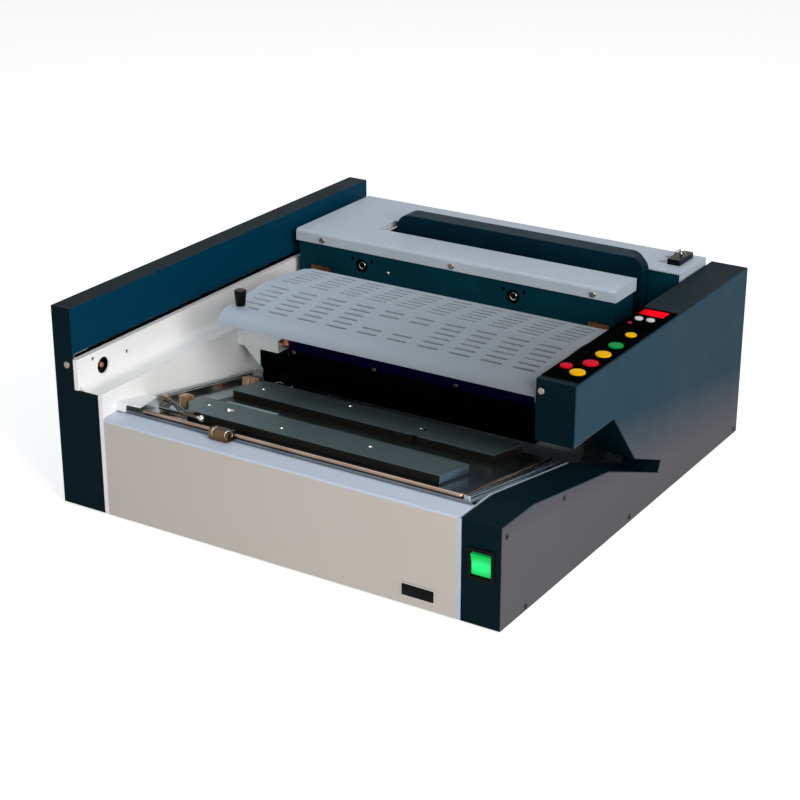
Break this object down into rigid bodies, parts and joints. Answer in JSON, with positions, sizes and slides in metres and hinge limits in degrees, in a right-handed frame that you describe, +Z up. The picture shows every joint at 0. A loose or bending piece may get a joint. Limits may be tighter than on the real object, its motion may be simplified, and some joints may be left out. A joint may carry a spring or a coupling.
{
  "type": "perfect binding machine",
  "caption": "Desk-top perfect binding machine with a sliding clamp carriage, slotted glue guard, sloping cover tray with nip plates, gluing rollers, spine cutter and control panel.",
  "frame": {"origin": "middle of the machine's footprint, on the table top under its feet", "axes": "+X to the operator's right, +Y from the front panel to the back, +Z up"},
  "size_m": [0.5, 0.524, 0.21],
  "materials": {
    "navy_paint": "satin powder coat, dark petrol blue",
    "white_paint": "satin powder coat, light grey-white",
    "bare_steel": "zinc plated sheet",
    "plate_coat": "dark grey-green coated steel, satin",
    "bright_steel": "polished",
    "brass": "worn satin",
    "aluminium": "machined",
    "motor_case": "satin black",
    "roller_metal": "turned, smooth",
    "feet_rubber": "matt",
    "belt_rubber": "matt",
    "black_plastic": "fine texture",
    "membrane": "printed foil, black",
    "red_lens": "tinted, clear gloss",
    "lit_green": "translucent, lit",
    "key_white": "gloss",
    "key_yellow": "gloss",
    "key_green": "gloss",
    "key_red": "gloss",
    "circuit_board": "solder mask"
  },
  "bodies": {
    "frame": {"base_plate": "bare_steel", "rubber_feet": "feet_rubber", "left_side_cover": "navy_paint", "right_side_cover": "navy_paint", "right_frame_plate": "bare_steel", "front_panel": "white_paint", "rear_panel": "white_paint", "left_rail_plate": "white_paint", "left_inner_wall": "white_paint", "right_inner_wall": "white_paint", "cover_tray": "bare_steel", "tray_rails": "bright_steel", "tray_fittings": "brass", "lift_drive": "bare_steel", "guide_rods": "bright_steel", "rod_posts": "bare_steel", "drive_belt": "belt_rubber", "carriage_motor": "motor_case", "station_plates": "bare_steel", "glue_tank": "navy_paint", "drive_motors": "motor_case", "channel_bracket": "white_paint", "switch_bezel": "black_plastic", "control_membrane": "membrane", "panel_lenses": "red_lens", "control_board": "circuit_board", "power_supply": "bare_steel", "power_inlet": "black_plastic", "case_screws": "bright_steel"},
    "carriage": {"carriage_cover": "white_paint", "front_beam": "navy_paint", "rear_beam": "navy_paint", "slide_blocks": "aluminium", "carriage_fittings": "bright_steel", "jaw_motor": "motor_case", "guard_arms": "bare_steel"},
    "jaw": {"clamp_jaw": "navy_paint"},
    "jaw_screw_shaft": {"jaw_screw": "bare_steel"},
    "guard": {"glue_guard": "white_paint", "guard_knob": "black_plastic"},
    "pulley_front": {"front_pulley": "aluminium"},
    "pulley_rear": {"rear_pulley": "aluminium"},
    "cutter": {"notch_cutter": "bare_steel"},
    "roller_front": {"glue_roller_front": "roller_metal"},
    "roller_rear": {"glue_roller_rear": "roller_metal"},
    "cams": {"lift_cams": "bare_steel"},
    "table": {"nip_table": "plate_coat", "nip_rear_plate": "plate_coat"},
    "nip_front": {"nip_front_plate": "plate_coat"},
    "lever": {"register_lever": "bare_steel"},
    "stop": {"stop_block": "brass"},
    "rocker": {"power_rocker": "lit_green"},
    "key_white_left_cap": {"key_white_left": "key_white"},
    "key_white_right_cap": {"key_white_right": "key_white"},
    "key_yellow_top_cap": {"key_yellow_top": "key_yellow"},
    "key_green_cap": {"key_green": "key_green"},
    "key_yellow_middle_cap": {"key_yellow_middle": "key_yellow"},
    "key_red_cap": {"key_red": "key_red"},
    "key_yellow_bottom_cap": {"key_yellow_bottom": "key_yellow"},
    "key_red_small_cap": {"key_red_small": "key_red"}
  },
  "joints": [
    {"name": "carriage_slide", "type": "slide", "parent": "frame", "child": "carriage", "axis": [0, -1, 0], "range_m": [0, 0.298]},
    {"name": "jaw_slide", "type": "slide", "parent": "carriage", "child": "jaw", "axis": [0, -1, 0], "range_m": [0, 0.018]},
    {"name": "jaw_screw_turn", "type": "hinge", "parent": "carriage", "child": "jaw_screw_shaft", "pos_m": [0.021, 0.2, 0.15], "axis": [0, 1, 0], "range_deg": [0, 1300]},
    {"name": "guard_hinge", "type": "hinge", "parent": "carriage", "child": "guard", "pos_m": [0, 0.033, 0.17654], "axis": [-1, 0, 0], "range_deg": [0, 80]},
    {"name": "front_pulley_turn", "type": "hinge", "parent": "frame", "child": "pulley_front", "pos_m": [-0.233, -0.2218, 0.1411], "axis": [1, 0, 0], "range_deg": [0, 1900]},
    {"name": "rear_pulley_turn", "type": "hinge", "parent": "frame", "child": "pulley_rear", "pos_m": [-0.233, 0.228, 0.1411], "axis": [1, 0, 0], "range_deg": [0, 1900]},
    {"name": "cutter_spin", "type": "hinge", "parent": "frame", "child": "cutter", "pos_m": [0, 0.088, 0.102], "axis": [1, 0, 0], "continuous": true},
    {"name": "roller_front_spin", "type": "hinge", "parent": "frame", "child": "roller_front", "pos_m": [0, -0.0015, 0.102], "axis": [1, 0, 0], "continuous": true},
    {"name": "roller_rear_spin", "type": "hinge", "parent": "frame", "child": "roller_rear", "pos_m": [0, 0.0335, 0.102], "axis": [1, 0, 0], "continuous": true},
    {"name": "table_tilt", "type": "hinge", "parent": "frame", "child": "table", "pos_m": [0, -0.21254, 0.09441], "axis": [1, 0, 0], "range_deg": [0, 10.2]},
    {"name": "lift_cam_turn", "type": "hinge", "parent": "frame", "child": "cams", "pos_m": [0, -0.16, 0.0792], "axis": [1, 0, 0], "range_deg": [-205, 0]},
    {"name": "nip_close", "type": "slide", "parent": "table", "child": "nip_front", "axis": [0, 0.9842, -0.1771], "range_m": [0, 0.04]},
    {"name": "lever_swing", "type": "hinge", "parent": "frame", "child": "lever", "pos_m": [-0.172, -0.18922, 0.10545], "axis": [0, 0.1771, 0.9842], "range_deg": [-15, 0]},
    {"name": "stop_slide", "type": "slide", "parent": "frame", "child": "stop", "axis": [1, 0, 0], "range_m": [-0.006, 0.22]},
    {"name": "rocker_tilt", "type": "hinge", "parent": "frame", "child": "rocker", "pos_m": [0.2295, -0.255, 0.0624], "axis": [-1, 0, 0], "range_deg": [0, 14]},
    {"name": "key_white_left_press", "type": "slide", "parent": "frame", "child": "key_white_left_cap", "axis": [0, 0, -1], "range_m": [0, 0.001], "stiffness_N_per_m": 300, "springref_m": -0.001},
    {"name": "key_white_right_press", "type": "slide", "parent": "frame", "child": "key_white_right_cap", "axis": [0, 0, -1], "range_m": [0, 0.001], "stiffness_N_per_m": 300, "springref_m": -0.001},
    {"name": "key_yellow_top_press", "type": "slide", "parent": "frame", "child": "key_yellow_top_cap", "axis": [0, 0, -1], "range_m": [0, 0.001], "stiffness_N_per_m": 300, "springref_m": -0.001},
    {"name": "key_green_press", "type": "slide", "parent": "frame", "child": "key_green_cap", "axis": [0, 0, -1], "range_m": [0, 0.001], "stiffness_N_per_m": 300, "springref_m": -0.001},
    {"name": "key_yellow_middle_press", "type": "slide", "parent": "frame", "child": "key_yellow_middle_cap", "axis": [0, 0, -1], "range_m": [0, 0.001], "stiffness_N_per_m": 300, "springref_m": -0.001},
    {"name": "key_red_press", "type": "slide", "parent": "frame", "child": "key_red_cap", "axis": [0, 0, -1], "range_m": [0, 0.001], "stiffness_N_per_m": 300, "springref_m": -0.001},
    {"name": "key_yellow_bottom_press", "type": "slide", "parent": "frame", "child": "key_yellow_bottom_cap", "axis": [0, 0, -1], "range_m": [0, 0.001], "stiffness_N_per_m": 300, "springref_m": -0.001},
    {"name": "key_red_small_press", "type": "slide", "parent": "frame", "child": "key_red_small_cap", "axis": [0, 0, -1], "range_m": [0, 0.001], "stiffness_N_per_m": 300, "springref_m": -0.001}
  ],
  "couplings": [
    {"joint": "front_pulley_turn", "follows": "carriage_slide", "rad_per_m": 111.11},
    {"joint": "rear_pulley_turn", "follows": "carriage_slide", "rad_per_m": 111.11},
    {"joint": "jaw_screw_turn", "follows": "jaw_slide", "rad_per_m": 1256.6},
    {"joint": "roller_rear_spin", "follows": "roller_front_spin", "ratio": -1},
    {"joint": "lift_cam_turn", "follows": "table_tilt", "ratio": -20}
  ]
}
